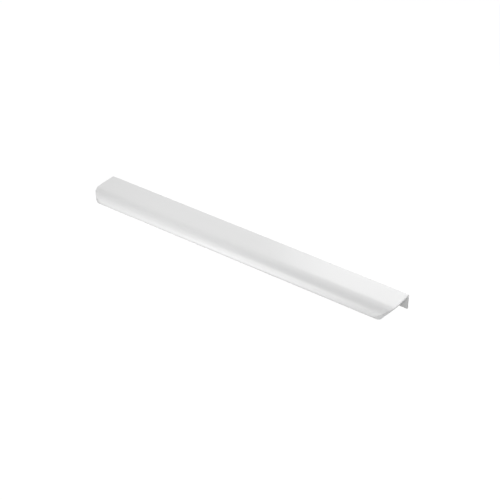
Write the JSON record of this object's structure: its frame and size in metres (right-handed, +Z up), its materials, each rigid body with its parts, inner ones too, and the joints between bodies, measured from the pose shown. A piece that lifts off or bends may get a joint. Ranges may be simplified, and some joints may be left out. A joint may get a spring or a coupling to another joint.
{
  "type": "edge pull",
  "caption": "White powder-coated profile pull for the top edge of a door or drawer front: flat plate, screw leg behind, finger lip curled down in front.",
  "frame": {"origin": "centre of the bounding box's bottom face, on the floor that the pull lies on", "axes": "+X along the pull, -Y towards the finger lip, +Y towards the screw leg, +Z up"},
  "size_m": [0.32, 0.0354, 0.0144],
  "materials": {
    "white_powder_coat": "satin white powder coat on aluminium"
  },
  "bodies": {
    "root": {"edge_pull": "white_powder_coat"}
  },
  "joints": []
}
